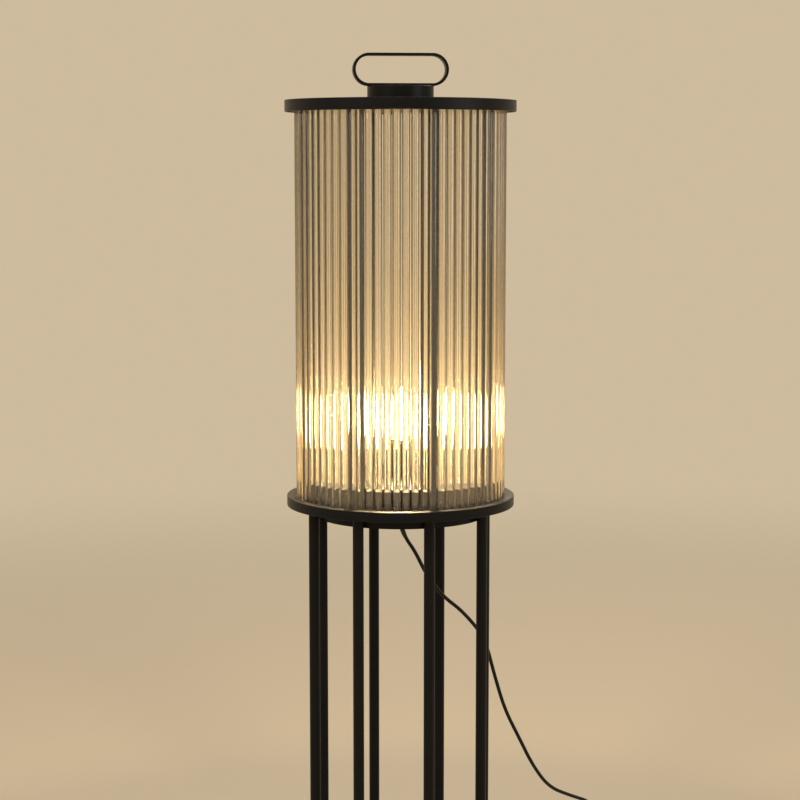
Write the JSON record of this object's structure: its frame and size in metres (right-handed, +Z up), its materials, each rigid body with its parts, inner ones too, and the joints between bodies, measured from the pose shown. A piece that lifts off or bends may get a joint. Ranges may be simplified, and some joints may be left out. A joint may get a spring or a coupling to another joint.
{
  "type": "lantern floor lamp",
  "caption": "Floor lamp with a lantern shade of upright glass rods between two round discs, a strap handle on the lid, a candle bulb inside and slim tube legs on a round base.",
  "frame": {"origin": "centre of the base on the floor, under the lamp's axis", "axes": "+Z up along the lamp's axis, -Y towards the front that the picture shows, +X to its right"},
  "size_m": [0.48, 0.3911, 1.25],
  "materials": {
    "black_satin_paint": "satin black powder coat",
    "rubber_black": "matte",
    "felt_dark": "pressed felt",
    "black_plastic": "fine matte",
    "button_plastic": "half gloss",
    "white_plastic": "natural",
    "zinc_steel": "zinc plated",
    "black_screws": "blackened",
    "lead_insulation": "plain",
    "brass_shell": "bright",
    "nickel_cap": "nickel plated",
    "solder_contact": "solder",
    "bulb_glass": "clear",
    "filament_phosphor": "warm phosphor coat",
    "rod_glass": "clear, fire polished",
    "cord_pvc": "smooth sheath"
  },
  "bodies": {
    "lamp": {"base_plate": "black_satin_paint", "base_pads": "rubber_black", "leg_1": "black_satin_paint", "leg_2": "black_satin_paint", "leg_3": "black_satin_paint", "leg_4": "black_satin_paint", "leg_5": "black_satin_paint", "leg_6": "black_satin_paint", "leg_7": "black_satin_paint", "leg_8": "black_satin_paint", "lower_disc": "black_satin_paint", "rod_rest_ring": "felt_dark", "drum": "black_satin_paint", "drum_cover": "black_satin_paint", "cord_gland": "black_plastic", "lock_nuts": "zinc_steel", "terminal_block": "white_plastic", "holder_leads": "lead_insulation", "holder_nipple": "zinc_steel", "holder_body": "black_plastic", "holder_core": "black_plastic", "holder_ring": "black_plastic", "holder_thread": "brass_shell", "holder_contact": "brass_shell", "post_1": "black_satin_paint", "post_2": "black_satin_paint", "post_3": "black_satin_paint", "post_4": "black_satin_paint", "post_5": "black_satin_paint", "post_6": "black_satin_paint", "post_7": "black_satin_paint", "post_8": "black_satin_paint", "post_studs": "zinc_steel", "tube_bushes": "zinc_steel", "glass_rods_front": "rod_glass", "glass_rods_rear": "rod_glass", "rod_plate": "black_satin_paint", "rod_cushion": "felt_dark", "lid_spacers": "zinc_steel", "top_cover": "black_satin_paint", "neck": "black_satin_paint", "handle": "black_satin_paint", "cord_lead": "cord_pvc", "cord_tail": "cord_pvc", "cord_coil": "cord_pvc", "cord_end": "cord_pvc", "coil_tie": "rubber_black", "frame_screws": "black_screws", "small_screws": "black_screws", "switch_base": "black_plastic", "switch_top": "black_plastic", "switch_spring": "zinc_steel", "plug_body": "black_plastic", "plug_pins": "nickel_cap"},
    "bulb": {"bulb_contact": "solder_contact", "bulb_cap": "nickel_cap", "bulb_glass": "bulb_glass", "bulb_stem": "rod_glass", "bulb_filaments": "filament_phosphor"},
    "switch_key": {"switch_button": "button_plastic"}
  },
  "joints": [
    {"name": "bulb_draw", "type": "slide", "parent": "lamp", "child": "bulb", "axis": [0, 0, 1], "range_m": [0, 0.031]},
    {"name": "switch_press", "type": "slide", "parent": "lamp", "child": "switch_key", "axis": [0, 0, -1], "range_m": [0, 0.003], "stiffness_N_per_m": 400, "springref_m": -0.004, "deforming": ["switch_spring"]}
  ]
}
